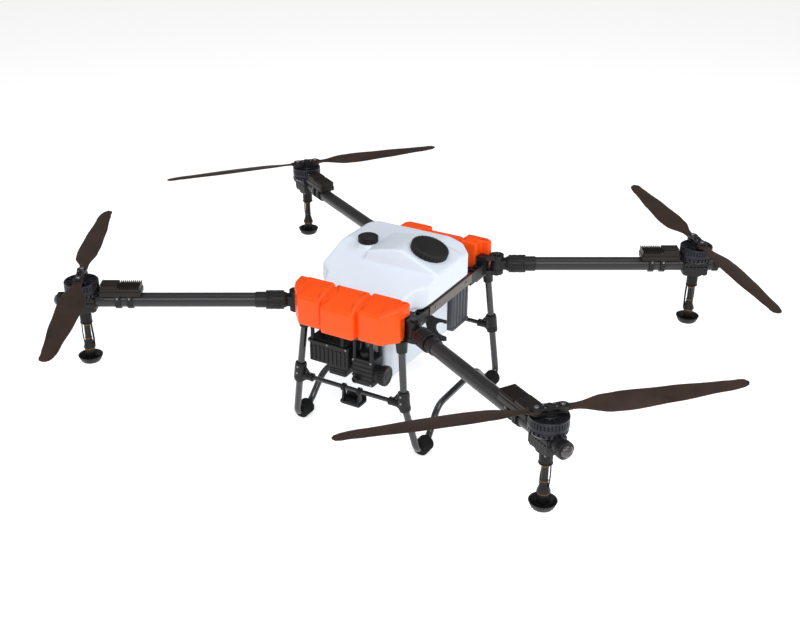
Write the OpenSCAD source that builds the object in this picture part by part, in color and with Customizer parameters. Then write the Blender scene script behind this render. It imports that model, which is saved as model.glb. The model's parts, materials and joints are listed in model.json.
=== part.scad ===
// Four-rotor agricultural spray drone. Millimetres, ground at z = 0, front is -Y, +X is the drone's right.

/* [Layout] */
// Motor axis distance from the centre plane, sideways
motor_x = 626; // [600:2:660]
// Motor axis distance from the centre plane, fore and aft
motor_y = 498; // [480:2:530]
// Height of the propeller plane above the ground
hub_z = 421; // [415:1:430]

/* [Rotors] */
// Blade tip radius from the motor axis
prop_r = 441; // [380:1:450]
// Widest chord of a blade
blade_chord = 62; // [50:1:70]
// Motor outside diameter
motor_d = 85; // [78:1:88]

/* [Arms] */
// Arm tube wall thickness
arm_wall = 2; // [1:0.5:4]
// Length of the ribbed lock sleeve
sleeve_len = 44; // [34:1:46]

/* [Tank] */
// Tank wall thickness
tank_wall = 4; // [3:0.5:6]
// Height of the flat tank top above the ground
tank_top_z = 463; // [460:1:466]

/* [Spray] */
// Spinning nozzle disc diameter
disc_d = 62; // [50:1:76]

/* [Hidden] */
$fn = 48;
arm_drop = 65;                    // tube axis below the propeller plane
arm_z = hub_z - arm_drop;
arm_r = 18;
pin_x = 168;
pin_y = 228;
pin_r = 5;
run_fit = 0.05;                   // radial running clearance
arm_len = sqrt(pow(motor_x - pin_x, 2) + pow(motor_y - pin_y, 2));
fork_half = 14.5;                 // half height of the arm tongue between the ears
ear_t = 12;
ear_r = 18;
plate_z = arm_z - 29;             // underside of the cross plates
plate_t = 4;
body_bot = arm_z + 9.2;           // underside of the upper tank body
collar_r = 19.95;
collar_end = 103;
sleeve_start = 32;
pivot_s = 28;                     // blade pivot distance from the motor axis
root_t = 6.2;
leg_r = 9;
bar_r = 6;
bar_y = 247;
bar_z = 157;
foot_z = 20;
tilt = 19;                        // filler neck lean to the right
neck_r = 40;
vent_neck_r = 20;
neck_pos = [91.5, -18, tank_top_z + 2];
vent_pos = [-75, -35, tank_top_z];
FR = [1, -1, 44, 1];              // side, end, blade bearing at rest, spin sense
FL = [-1, -1, 124.5, -1];
RR = [1, 1, 132, -1];
RL = [-1, 1, 51.6, 1];
carbon = [0.10, 0.10, 0.11];
nylon = [0.07, 0.07, 0.08];
orange = [0.93, 0.33, 0.10];
white_pe = [0.90, 0.91, 0.92];
alloy = [0.30, 0.31, 0.34];
grey = [0.42, 0.44, 0.47];
brown = [0.17, 0.13, 0.11];

// ---------- placing helpers ----------
module on_arm(a) {
    translate([a[0] * pin_x, a[1] * pin_y, arm_z])
        rotate([0, 0, atan2(a[1] * (motor_y - pin_y), a[0] * (motor_x - pin_x))]) children();
}
module at_motor(a) translate([a[0] * motor_x, a[1] * motor_y, hub_z]) children();
module corners() for (sx = [0, 1], sy = [0, 1]) mirror([sx, 0, 0]) mirror([0, sy, 0]) children();
module both_ends() for (sy = [0, 1]) mirror([0, sy, 0]) children();
module along_x(x0, x1, r) translate([x0, 0, 0]) rotate([0, 90, 0]) cylinder(r = r, h = x1 - x0);
module block(x0, x1, y0, y1, z0, z1) translate([x0, y0, z0]) cube([x1 - x0, y1 - y0, z1 - z0]);
// round rod between two points
module rod(p, q, r, r2 = 0) {
    d = q - p;
    translate(p) rotate([0, acos(d[2] / norm(d)), atan2(d[1], d[0])])
        cylinder(r1 = r, r2 = r2 > 0 ? r2 : r, h = norm(d));
}

// ---------- arm shapes, +X outward along the tube, origin on the hinge pin ----------
module arm_tube_shape() difference() {
    along_x(34, arm_len + 55, arm_r);
    along_x(33, arm_len + 56, arm_r - arm_wall);
}
module arm_knuckle_shape() difference() {
    union() {
        translate([0, 0, -fork_half]) cylinder(r = 17, h = 2 * fork_half);
        block(0, 26, -15, 15, -fork_half, fork_half);
        translate([20, 0, 0]) rotate([0, 90, 0]) cylinder(r1 = 14.5, r2 = collar_r, h = 8);
        along_x(28, collar_end, collar_r);
    }
    translate([0, 0, -20]) cylinder(r = pin_r + run_fit, h = 40);
    along_x(34, collar_end + 1, arm_r);
}
module lock_sleeve_shape() difference() {
    union() {
        along_x(sleeve_start, sleeve_start + sleeve_len, 22.6);
        along_x(sleeve_start, sleeve_start + 5, 24);
        along_x(sleeve_start + sleeve_len - 5, sleeve_start + sleeve_len, 24);
        for (k = [0:17]) rotate([k * 20, 0, 0])
            block(sleeve_start + 4, sleeve_start + sleeve_len - 4, -1.6, 1.6, 21.6, 23.7);
    }
    along_x(sleeve_start - 1, sleeve_start + sleeve_len + 1, collar_r + run_fit);
}
module motor_base_shape() {
    difference() {
        union() {
            translate([arm_len, 0, 0]) block(-33, 33, -25, 25, -24, 12);
            translate([arm_len, 0, -30]) cylinder(r = 24, h = 7);
            translate([arm_len, 0, 11]) rotate_extrude()
                polygon([[0, 0], [35, 0], [motor_d / 2 - 1, 9], [motor_d / 2 - 1, 16.5], [30, 16.5], [30, 28], [0, 28]]);
        }
        along_x(arm_len - 60, arm_len + 60, arm_r);
        translate([arm_len, 0, 19]) cylinder(r = 5 + run_fit, h = 40);
        for (k = [0:23]) translate([arm_len, 0, 0]) rotate([0, 0, k * 15])
            block(motor_d / 2 - 5, motor_d / 2 + 2, -2.2, 2.2, 21, 25.5);
    }
    // tube end cap with its lamp dome
    translate([arm_len + 47, 0, 0]) rotate([0, 90, 0]) rotate_extrude()
        polygon(concat([[0, 8.5], [arm_r, 8.5], [arm_r, 0], [19.6, 0], [19.6, 15], [14.5, 15]],
                       [for (a = [15:15:90]) [14.5 * cos(a), 15 + 11 * sin(a)]]));
}
module esc_shape() difference() {
    union() {
        block(arm_len - 148, arm_len - 45, -23, 23, 17, 38);
        block(arm_len - 94, arm_len - 47, -21, 21, 37, 45);
        for (k = [0:7]) block(arm_len - 146 + k * 6.4, arm_len - 143 + k * 6.4, -21, 21, 37, 44);
        block(arm_len - 125, arm_len - 112, -22, 22, -22, 18);
        block(arm_len - 95, arm_len - 82, -22, 22, -22, 18);
    }
    along_x(arm_len - 150, arm_len - 40, arm_r);
}
module nozzle_shape() translate([arm_len, 0, 0]) {
    difference() {
        union() {
            translate([0, 0, -60]) cylinder(r = 14, h = 30);
            for (k = [0:11]) rotate([0, 0, k * 30]) block(13, 14.8, -1.3, 1.3, -59, -31);
            translate([0, 0, -62.5]) cylinder(r = 15.5, h = 3);
            translate([0, 0, -111]) cylinder(r = 7.8, h = 50);
            translate([0, 0, -132]) cylinder(r1 = 15, r2 = 8, h = 22);
            translate([0, 0, -134]) cylinder(r = 13, h = 3);
            translate([0, 0, -160]) cylinder(r = 12, h = 28);
            translate([-12, 0, -130]) cylinder(r = 2.5, h = 72);
        }
        translate([0, 0, -161]) cylinder(r = 3 + run_fit, h = 20);
    }
}
module nozzle_disc_shape() translate([arm_len, 0, -171]) {
    difference() {
        union() {
            cylinder(r1 = disc_d / 2 - 8, r2 = disc_d / 2, h = 12);
            translate([0, 0, 11.9]) cylinder(r = disc_d / 2, h = 5.1);
            for (k = [0:35]) rotate([0, 0, k * 10])
                block(disc_d / 2 - 1.5, disc_d / 2 + 1, -0.9, 0.9, 13, 16);
        }
        translate([0, 0, 2.5]) cylinder(r1 = disc_d / 2 - 11, r2 = disc_d / 2 - 3, h = 15);
    }
    cylinder(r = 3, h = 26);
}

// ---------- rotor shapes, origin at the propeller plane on the motor axis ----------
module rotor_shape(a) rotate([0, 0, a[2]]) {
    difference() {
        translate([0, 0, -36.5]) cylinder(r = motor_d / 2, h = 25);
        translate([0, 0, -37.5]) cylinder(r = motor_d / 2 - 5, h = 13);
        translate([0, 0, -25]) cylinder(r = 12, h = 1);
        translate([0, 0, -13.5]) difference() {
            cylinder(r = motor_d / 2 - 6, h = 4);
            translate([0, 0, -1]) cylinder(r = 18, h = 6);
        }
        for (k = [0:11]) rotate([0, 0, k * 30 + 15]) translate([27, 0, -26]) cylinder(r = 3.6, h = 20);
    }
    translate([0, 0, -45]) cylinder(r = 5, h = 30);
    translate([0, 0, -12]) cylinder(r = 15, h = 5);
    translate([0, 0, -8]) cylinder(r = 9, h = 18);
    for (z = [-root_t / 2 - 4, root_t / 2 + 0.1]) translate([0, 0, z]) {
        block(-pivot_s, pivot_s, -13, 13, 0, 3.9);
        for (s = [-1, 1]) translate([s * pivot_s, 0, 0]) cylinder(r = 13, h = 3.9);
    }
    for (s = [-1, 1]) translate([s * pivot_s, 0, -root_t / 2 - 4]) {
        cylinder(r = 3, h = root_t + 10.5);
        translate([0, 0, root_t + 7.5]) cylinder(r = 5.5, h = 3);
    }
}
function chord(t) = blade_chord * lookup(t, [[0, 0.36], [0.08, 0.40], [0.2, 0.9], [0.32, 1], [0.56, 0.88],
                                            [0.85, 0.58], [0.96, 0.44], [0.99, 0.28], [1, 0.16]]);
function pitch(t) = lookup(t, [[0, 4], [0.12, 10], [0.25, 10], [0.6, 7], [1, 4]]);
function sweep(t) = blade_chord * lookup(t, [[0, 0], [0.25, -0.08], [0.9, 0], [1, 0.06]]);
// one section, eight points round a cambered profile
function section(t, spin) = let (c = chord(t), h = 1.7 - 0.7 * t, p = pitch(t))
    [for (q = [[-0.5, -0.2], [-0.25, -1], [0.1, -1], [0.4, -0.7], [0.5, 0.1], [0.25, 1], [-0.1, 1.2], [-0.4, 0.6]])
        [pivot_s + 8 + t * (prop_r - pivot_s - 8),
         spin * (sweep(t) + q[0] * c * cos(p)) - (q[1] * h) * sin(p) * spin,
         q[0] * c * sin(p) + q[1] * h * cos(p)]];
blade_steps = 22;
module blade_shape(a, half) rotate([0, 0, a[2] + 180 * half]) {
    rows = [for (i = [0:blade_steps]) section(i / blade_steps, a[3])];
    pts = [for (r = rows) for (p = r) p];
    n = 8;
    sides = [for (i = [0:blade_steps - 1]) for (j = [0:n - 1])
        [i * n + j, i * n + (j + 1) % n, (i + 1) * n + (j + 1) % n, (i + 1) * n + j]];
    tri = [for (f = sides) each [[f[0], f[1], f[2]], [f[0], f[2], f[3]]]];
    ends = concat([for (j = [1:n - 2]) [0, j + 1, j]],
                  [for (j = [1:n - 2]) [blade_steps * n, blade_steps * n + j, blade_steps * n + j + 1]]);
    faces = concat(tri, ends);
    difference() {
        union() {
            polyhedron(points = pts, faces = a[3] > 0 ? [for (f = faces) [f[0], f[2], f[1]]] : faces);
            translate([pivot_s, 0, -root_t / 2]) cylinder(r = 12, h = root_t);
            block(pivot_s, pivot_s + 16, -11, 11, -root_t / 2, root_t / 2);
        }
        translate([pivot_s, 0, -5]) cylinder(r = 3 + run_fit, h = 10);
    }
}

// ---------- fixed frame ----------
module frame_beams() color(carbon) for (s = [-1, 1]) difference() {
    block(s > 0 ? 138 : -150, s > 0 ? 150 : -138, -114, 114, arm_z - 15, arm_z + 9);
    block(s > 0 ? 140.5 : -147.5, s > 0 ? 147.5 : -140.5, -115, 115, arm_z - 12, arm_z + 6);
    for (y = [-84, 84]) translate([s * 151, y, arm_z - 3]) rotate([0, -s * 90, 0]) cylinder(r = 2, h = 12);
}
module frame_plates() color(carbon) {
    difference() {
        union() {
            block(-148, 148, 150, 290, plate_z, plate_z + plate_t);
            translate([0, 0, plate_z]) linear_extrude(plate_t)
                polygon([[-148, -150], [148, -150], [148, -240], [104, -290], [-104, -290], [-148, -240]]);
        }
        block(-90, 90, -200, -140, plate_z - 1, plate_z + plate_t + 1);
        for (s = [-1, 1], y = [-165, 165, 272]) translate([s * 137, y, plate_z - 1]) cylinder(r = 2, h = 6);
    }
    // battery hanger rails
    for (m = [0, 1]) mirror([m, 0, 0]) {
        block(93, 99, 150, 225, plate_z - 31, plate_z);
        block(86, 94, 150, 225, plate_z - 28, plate_z - 22);
    }
}
module corner_castings() color(nylon) corners() difference() {
    union() {
        block(126, 148, 114, 200, plate_z + plate_t, arm_z + 7);
        block(126, 150, 188, 214, plate_z + plate_t, arm_z + fork_half + 0.5 + ear_t);
        for (z = [arm_z - fork_half - 0.5 - ear_t + 0.1, arm_z + fork_half + 0.5]) translate([0, 0, z])
            linear_extrude(ear_t - 0.1) union() {
                translate([pin_x, pin_y]) circle(r = ear_r);
                polygon([[149, 198], [168, 210], [168, 246], [149.5, 236]]);
            }
    }
    translate([pin_x, pin_y, 300]) cylinder(r = pin_r, h = 110);
    for (y = [128, 150, 172]) block(130, 144, y, y + 14, arm_z, arm_z + 8);
    translate([137, 165, plate_z]) cylinder(r = 2, h = 14);
}
module hinge_pins() color(alloy) corners() translate([pin_x, pin_y, arm_z]) {
    translate([0, 0, -27]) cylinder(r = pin_r, h = 54);
    translate([0, 0, 27]) cylinder(r = 9, h = 4);
    translate([0, 0, -33]) cylinder(r = 8, h = 6.1, $fn = 6);
}
module arm_clips() color(nylon) for (m = [0, 1]) mirror([m, 0, 0]) translate([0, -97, 0]) rotate([90, 0, 0])
    linear_extrude(5) difference() {
        polygon([[126, arm_z - 26], [126, arm_z + 5], [148 - 11, arm_z - 17], [156, arm_z - 24], [189, arm_z - 24],
                 [189, arm_z - 32], [182, arm_z - 32], [182, arm_z - 69], [189, arm_z - 70],
                 [189, arm_z - 80], [158, arm_z - 88], [140, arm_z - 72]]);
        translate([178, arm_z - 50]) circle(r = 18.6);
    }
module frame_screws() color(alloy) {
    for (s = [-1, 1], y = [-84, 84]) translate([s * 150, y, arm_z - 3]) rotate([0, s * 90, 0]) {
        cylinder(r = 3.6, h = 2);
        translate([0, 0, -2.5]) cylinder(r = 2, h = 3);
    }
    corners() translate([137, 165, plate_z - 2.2]) {
        cylinder(r = 3.6, h = 2.2);
        cylinder(r = 2, h = 12);
    }
}
function nose_plan(t) = [[-135 + t, -222], [-146 + t, -232], [-150 + t, -262 + t / 2], [-116 + t / 2, -299 + t],
    [-52, -299 + t], [-49 + t / 2, -304 + t], [-46 + t / 2, -311 + t], [46 - t / 2, -311 + t], [49 - t / 2, -304 + t],
    [52, -299 + t], [116 - t / 2, -299 + t], [150 - t, -262 + t / 2], [146 - t, -232], [135 - t, -222]];
module nose_body(t) intersection() {
    translate([0, 0, plate_z + plate_t - (t > 0 ? 1 : 0)]) linear_extrude(110) polygon(nose_plan(t));
    translate([-160, 0, 0]) rotate([90, 0, 90]) linear_extrude(320)
        polygon([[-320, 300], [-320, hub_z - 26 - t], [-311, hub_z - 18 - t], [-296, hub_z - 12 - t],
                 [-262, hub_z - 1 - t], [-229, hub_z + 6 - t], [-221, hub_z + 6 - t], [-221, 300]]);
}
module front_cover() color(orange) difference() {
    nose_body(0);
    translate([0, 1.5, 0]) nose_body(3);
    for (m = [0, 1]) mirror([m, 0, 0]) block(47.5, 49.5, -302, -240, hub_z - 12, hub_z + 10);
    block(-40, 40, -309.5, -300, plate_z, plate_z + 20);
}
module tail_lobe(t) {
    translate([0, 0, arm_z - 10 - (t > 0 ? 1 : 0)]) linear_extrude(hub_z + 2 - t - (arm_z - 10))
        polygon([[38 + t, 190 + t], [123.5 - t, 190 + t], [123.5 - t, 217 + t], [146 - t, 217 + t],
                 [146 - t, 234 - t], [128 - t / 2, 245 - t], [38 + t, 245 - t]]);
}
module rear_cover() color(orange) difference() {
    union() {
        for (m = [0, 1]) mirror([m, 0, 0]) tail_lobe(0);
        block(-60, 60, 192, 243, plate_z + plate_t, hub_z - 13);
        block(-120, 120, 218, 240, plate_z + plate_t, arm_z + 2);
    }
    for (m = [0, 1]) mirror([m, 0, 0]) tail_lobe(3);
    block(-57, 57, 195, 240, plate_z, hub_z - 16);
    block(-117, 117, 221, 237, plate_z, arm_z + 3);
}

// ---------- landing gear ----------
leg_pts = [[138, 235, plate_z], [153, 247, bar_z], [181, 228, foot_z], [180, 172, foot_z],
           [175, 110, 91]];
leg_top = leg_pts[0] + (leg_pts[0] - leg_pts[1]) * 0.04;
bend_r = leg_r + 0.15;
module landing_gear() color(alloy) for (sx = [0, 1]) mirror([sx, 0, 0]) difference() {
    union() {
        for (sy = [0, 1]) mirror([0, sy, 0]) {
            rod(leg_top, leg_pts[1], leg_r);
            for (i = [1:3]) rod(leg_pts[i], leg_pts[i + 1], leg_r);
            for (i = [1:4]) translate(leg_pts[i]) sphere(r = bend_r);
        }
        translate([175, 110, 91]) rotate([90, 0, 0]) cylinder(r = leg_r, h = 220);
    }
    block(110, 170, -270, 270, plate_z, plate_z + 30);
}
module gear_crossbars() color(alloy) both_ends()
    translate([0, bar_y, bar_z]) along_x(-134, 134, bar_r);
leg_dir = (leg_pts[0] - leg_pts[1]) / norm(leg_pts[0] - leg_pts[1]);
module gear_clamps() color(nylon) corners() {
    // T clamp at the cross tube
    difference() {
        union() {
            rod(leg_pts[1] - leg_dir * 16, leg_pts[1] + leg_dir * 34, 15.5);
            translate([0, bar_y, bar_z]) along_x(112, 148, 10.5);
        }
        rod(leg_pts[1] - leg_dir * 20, leg_pts[1] + leg_dir * 40, leg_r + 0.2);
        rod(leg_pts[1] - leg_dir * 20, leg_pts[1] - leg_dir * 1, 13.2);
        translate([0, bar_y, bar_z]) along_x(100, 134, bar_r);
    }
    // moulded socket under the corner, solid round the leg's top
    translate([139.3, 236, plate_z - 32]) {
        cylinder(r = 13.5, h = 24);
        translate([0, 0, 24]) cylinder(r = 15.5, h = 8);
    }
}
module rubber_feet() color([0.04, 0.04, 0.04]) corners() difference() {
    union() {
        translate([180.6, 212, foot_z]) rotate([90, 0, 1]) cylinder(r = 20.8, h = 35);
        for (y = [178, 186, 194, 202, 210]) translate([180.6, y, foot_z]) rotate([90, 0, 1]) cylinder(r = 22, h = 4);
    }
    rod(leg_pts[3] - (leg_pts[2] - leg_pts[3]) * 0.2, leg_pts[2], leg_r);
    block(150, 210, 160, 230, -5, 0);
}

// ---------- under the nose ----------
module control_box() color(nylon) {
    difference() {
        block(-112, 2, -262, -202, 218, 276);
        for (k = [0:5]) block(-106 + k * 18, -98 + k * 18, -264, -259, 226, 250);
    }
    block(-116, 5, -266, -198, 270, 277);
    block(-58, -8, -258, -214, 192, 219);
    for (x = [-104, -16], y = [-256, -212]) translate([x, y, 276]) cylinder(r = 5, h = plate_z - 276);
}
module pump() color(nylon) {
    block(10, 70, -258, -204, 184, 258);
    translate([70, -231, 212]) rotate([0, 90, 0]) cylinder(r = 23, h = 12);
    translate([82, -231, 212]) rotate([0, 90, 0]) cylinder(r = 25.5, h = 16);
    for (k = [0:19]) translate([82, -231, 212]) rotate([k * 18, 0, 0]) block(1, 15, -2, 2, 24, 26.8);
    translate([38, -231, 256]) cylinder(r = 18, h = 14);
    for (x = [16, 64], y = [-252, -210]) translate([x, y, 257]) cylinder(r = 5, h = plate_z - 257);
}
module sensor() color(nylon) translate([0, -bar_y, bar_z]) difference() {
    union() {
        for (x = [-25, 21]) {
            along_x(x, x + 9, 10);
            block(x, x + 9, -6, 6, -34, -4);
        }
        block(-27, 32, -11, 24, -40, -33);
        block(-27, 32, 20, 24, -40, -16);
        for (k = [0:4]) block(-23, 28, -8 + k * 6, -6 + k * 6, -44, -39);
    }
    along_x(-30, 40, bar_r + run_fit);
}

// ---------- battery, pulls out to the rear ----------
module battery() color(grey) {
    difference() {
        block(-92, 92, 129, 225, 174, 324);
        for (m = [0, 1]) mirror([m, 0, 0]) {
            block(84.5, 93, 120, 230, plate_z - 29.5, plate_z - 20.5);
            for (k = [0:3]) block(89.5, 93, 138 + k * 21, 150 + k * 21, 188, 286);
        }
        block(-50, 50, 217, 226, 240, 292);
        for (z = [186, 198, 210]) block(-80, 80, 222, 226, z, z + 5);
    }
    translate([0, 221, 262]) along_x(-50, 50, 4.5);
}

// ---------- tank ----------
function tank_plan(t) = [[-110 + t, -217 + t], [110 - t, -217 + t], [122 - t, -154], [157 - t, -126 + t / 2],
    [157 - t, 76 - t / 2], [124 - t, 110 - t], [-124 + t, 110 - t], [-157 + t, 76 - t / 2],
    [-157 + t, -126 + t / 2], [-122 + t, -154]];
module tank_upper(t) intersection() {
    translate([0, 0, body_bot + t - 1]) linear_extrude(200) polygon(tank_plan(t));
    translate([-160, 0, 0]) rotate([90, 0, 90]) linear_extrude(320)
        polygon([[-240, body_bot + t], [120, body_bot + t], [120, tank_top_z - 10 - t], [104, tank_top_z - t],
                 [-28, tank_top_z - t], [-110, tank_top_z - 30 - t], [-200, tank_top_z - 64 - t],
                 [-240, tank_top_z - 79 - t]]);
    translate([0, 160, 0]) rotate([90, 0, 0]) linear_extrude(400)
        polygon([[-138 + t, body_bot + t], [138 - t, body_bot + t], [157 - t, body_bot + 16],
                 [157 - t, tank_top_z - 22 - t], [80, tank_top_z - t], [-141, tank_top_z - t],
                 [-152 + t, tank_top_z - 7 - t], [-157 + t, body_bot + 16]]);
}
module tank_mound(t) intersection() {
    translate([0, 0, body_bot + 20]) linear_extrude(200) polygon(tank_plan(t));
    translate([-160, 0, 0]) rotate([90, 0, 90]) linear_extrude(320)
        polygon([[-104 + t, tank_top_z - 60], [-74 + t, tank_top_z + 30], [40 - t, tank_top_z + 30],
                 [66 - t, tank_top_z - 60]]);
    translate([0, 160, 0]) rotate([90, 0, 0]) linear_extrude(400)
        polygon([[-60 + t, tank_top_z - 60], [-50 + t, tank_top_z - t], [22, tank_top_z + 16 - t],
                 [45, tank_top_z + 2 + 46.5 * tan(tilt) - t], [157 - t, tank_top_z + 2 - 65.5 * tan(tilt) - t],
                 [157 - t, tank_top_z - 60]]);
}
module tank_well(t) {
    translate([0, 0, 181 + t]) linear_extrude(200 - t)
        polygon([[-85 + t, -180 + t], [-70 + t / 2, -195 + t], [70 - t / 2, -195 + t], [85 - t, -180 + t],
                 [85 - t, 108 - t], [73 - t / 2, 120 - t], [-73 + t / 2, 120 - t], [-85 + t, 108 - t]]);
}
module at_neck() translate(neck_pos) rotate([0, tilt, 0]) children();
module tank() color(white_pe) difference() {
    union() {
        tank_upper(0);
        tank_mound(0);
        tank_well(0);
        at_neck() translate([0, 0, -14]) cylinder(r = neck_r, h = 27);
        translate([vent_pos[0], vent_pos[1], vent_pos[2] - 24]) cylinder(r = 28, h = 24);
        translate([vent_pos[0], vent_pos[1], vent_pos[2] - 4]) cylinder(r = vent_neck_r, h = 16);
    }
    tank_upper(tank_wall);
    tank_mound(tank_wall);
    tank_well(tank_wall);
    at_neck() translate([0, 0, -20]) cylinder(r = neck_r - 4, h = 40);
    translate([vent_pos[0], vent_pos[1], vent_pos[2] - 30]) cylinder(r = vent_neck_r - 4, h = 50);
}
// ribbed screw cap, skirt closed at the top
module cap(r, h, bore_r, depth, ribs, rib_w) difference() {
    union() {
        cylinder(r = r - 2, h = h - 2);
        translate([0, 0, h - 2]) cylinder(r1 = r - 2, r2 = r - 4, h = 2);
        for (k = [0:ribs - 1]) rotate([0, 0, k * 360 / ribs]) block(r - 4, r, -rib_w / 2, rib_w / 2, 0, h - 3);
    }
    translate([0, 0, -1]) cylinder(r = bore_r, h = depth + 1);
}
module filler_cap() color(nylon) at_neck() translate([0, 0, 0.4]) cap(49, 17.5, neck_r + run_fit, 13.4, 30, 5);
module vent_cap() color(nylon) translate(vent_pos + [0, 0, 0.4]) cap(26, 18, vent_neck_r + run_fit, 12.8, 20, 4);

// ---------- the four arms, node by node ----------
module arm_tube_fr() color(carbon) on_arm(FR) arm_tube_shape();
module arm_knuckle_fr() color(nylon) on_arm(FR) arm_knuckle_shape();
module lock_sleeve_fr() color(nylon) on_arm(FR) lock_sleeve_shape();
module motor_base_fr() color(alloy) on_arm(FR) motor_base_shape();
module esc_fr() color(nylon) on_arm(FR) esc_shape();
module nozzle_fr() color(nylon) on_arm(FR) nozzle_shape();
module nozzle_disc_fr() color(nylon) on_arm(FR) nozzle_disc_shape();
module rotor_fr() color(alloy) at_motor(FR) rotor_shape(FR);
module blade_a_fr() color(brown) at_motor(FR) blade_shape(FR, 0);
module blade_b_fr() color(brown) at_motor(FR) blade_shape(FR, 1);
module arm_tube_fl() color(carbon) on_arm(FL) arm_tube_shape();
module arm_knuckle_fl() color(nylon) on_arm(FL) arm_knuckle_shape();
module lock_sleeve_fl() color(nylon) on_arm(FL) lock_sleeve_shape();
module motor_base_fl() color(alloy) on_arm(FL) motor_base_shape();
module esc_fl() color(nylon) on_arm(FL) esc_shape();
module nozzle_fl() color(nylon) on_arm(FL) nozzle_shape();
module nozzle_disc_fl() color(nylon) on_arm(FL) nozzle_disc_shape();
module rotor_fl() color(alloy) at_motor(FL) rotor_shape(FL);
module blade_a_fl() color(brown) at_motor(FL) blade_shape(FL, 0);
module blade_b_fl() color(brown) at_motor(FL) blade_shape(FL, 1);
module arm_tube_rr() color(carbon) on_arm(RR) arm_tube_shape();
module arm_knuckle_rr() color(nylon) on_arm(RR) arm_knuckle_shape();
module lock_sleeve_rr() color(nylon) on_arm(RR) lock_sleeve_shape();
module motor_base_rr() color(alloy) on_arm(RR) motor_base_shape();
module esc_rr() color(nylon) on_arm(RR) esc_shape();
module nozzle_rr() color(nylon) on_arm(RR) nozzle_shape();
module nozzle_disc_rr() color(nylon) on_arm(RR) nozzle_disc_shape();
module rotor_rr() color(alloy) at_motor(RR) rotor_shape(RR);
module blade_a_rr() color(brown) at_motor(RR) blade_shape(RR, 0);
module blade_b_rr() color(brown) at_motor(RR) blade_shape(RR, 1);
module arm_tube_rl() color(carbon) on_arm(RL) arm_tube_shape();
module arm_knuckle_rl() color(nylon) on_arm(RL) arm_knuckle_shape();
module lock_sleeve_rl() color(nylon) on_arm(RL) lock_sleeve_shape();
module motor_base_rl() color(alloy) on_arm(RL) motor_base_shape();
module esc_rl() color(nylon) on_arm(RL) esc_shape();
module nozzle_rl() color(nylon) on_arm(RL) nozzle_shape();
module nozzle_disc_rl() color(nylon) on_arm(RL) nozzle_disc_shape();
module rotor_rl() color(alloy) at_motor(RL) rotor_shape(RL);
module blade_a_rl() color(brown) at_motor(RL) blade_shape(RL, 0);
module blade_b_rl() color(brown) at_motor(RL) blade_shape(RL, 1);

frame_beams();
frame_plates();
corner_castings();
hinge_pins();
arm_clips();
frame_screws();
front_cover();
rear_cover();
landing_gear();
gear_crossbars();
gear_clamps();
rubber_feet();
control_box();
pump();
sensor();
battery();
tank();
filler_cap();
vent_cap();
arm_tube_fr();
arm_knuckle_fr();
lock_sleeve_fr();
motor_base_fr();
esc_fr();
nozzle_fr();
nozzle_disc_fr();
rotor_fr();
blade_a_fr();
blade_b_fr();
arm_tube_fl();
arm_knuckle_fl();
lock_sleeve_fl();
motor_base_fl();
esc_fl();
nozzle_fl();
nozzle_disc_fl();
rotor_fl();
blade_a_fl();
blade_b_fl();
arm_tube_rr();
arm_knuckle_rr();
lock_sleeve_rr();
motor_base_rr();
esc_rr();
nozzle_rr();
nozzle_disc_rr();
rotor_rr();
blade_a_rr();
blade_b_rr();
arm_tube_rl();
arm_knuckle_rl();
lock_sleeve_rl();
motor_base_rl();
esc_rl();
nozzle_rl();
nozzle_disc_rl();
rotor_rl();
blade_a_rl();
blade_b_rl();
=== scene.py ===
import json
import math

import bmesh
import bpy
from mathutils import Matrix, Vector


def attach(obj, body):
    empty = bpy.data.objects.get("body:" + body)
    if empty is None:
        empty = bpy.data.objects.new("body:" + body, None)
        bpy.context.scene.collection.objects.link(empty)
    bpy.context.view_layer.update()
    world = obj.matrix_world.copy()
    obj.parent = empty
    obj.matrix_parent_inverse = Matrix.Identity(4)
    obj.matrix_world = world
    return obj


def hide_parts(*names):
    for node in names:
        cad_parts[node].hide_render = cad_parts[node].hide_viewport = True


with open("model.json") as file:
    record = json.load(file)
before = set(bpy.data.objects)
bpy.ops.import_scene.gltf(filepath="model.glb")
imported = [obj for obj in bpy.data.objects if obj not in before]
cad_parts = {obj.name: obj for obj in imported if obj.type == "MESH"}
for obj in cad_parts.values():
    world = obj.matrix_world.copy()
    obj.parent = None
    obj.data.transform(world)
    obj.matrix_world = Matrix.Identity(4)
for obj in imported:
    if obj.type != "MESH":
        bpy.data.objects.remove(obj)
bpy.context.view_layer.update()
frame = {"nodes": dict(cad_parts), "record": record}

nodes = frame["nodes"]
scene = bpy.context.scene

# ---------------------------------------------------------------- camera
CAM_AZ, CAM_EL, CAM_ROLL = (math.radians(a) for a in (29.6308, 26.7001, 0.355))
back = Vector((math.sin(CAM_AZ) * math.cos(CAM_EL), -math.cos(CAM_AZ) * math.cos(CAM_EL), math.sin(CAM_EL)))
side = Vector((math.cos(CAM_AZ), math.sin(CAM_AZ), 0))
over = back.cross(side)
right = math.cos(CAM_ROLL) * side + math.sin(CAM_ROLL) * over
up = -math.sin(CAM_ROLL) * side + math.cos(CAM_ROLL) * over
cam = bpy.data.objects.new("camera", bpy.data.cameras.new("camera"))
scene.collection.objects.link(cam)
turn = Matrix((right, up, back)).transposed().to_4x4()
cam.matrix_world = Matrix.Translation((1.32419, -2.32826, 1.59111)) @ turn
cam.data.lens = 51.147
cam.data.sensor_width = 36
cam.data.clip_end = 60
scene.camera = cam

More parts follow.
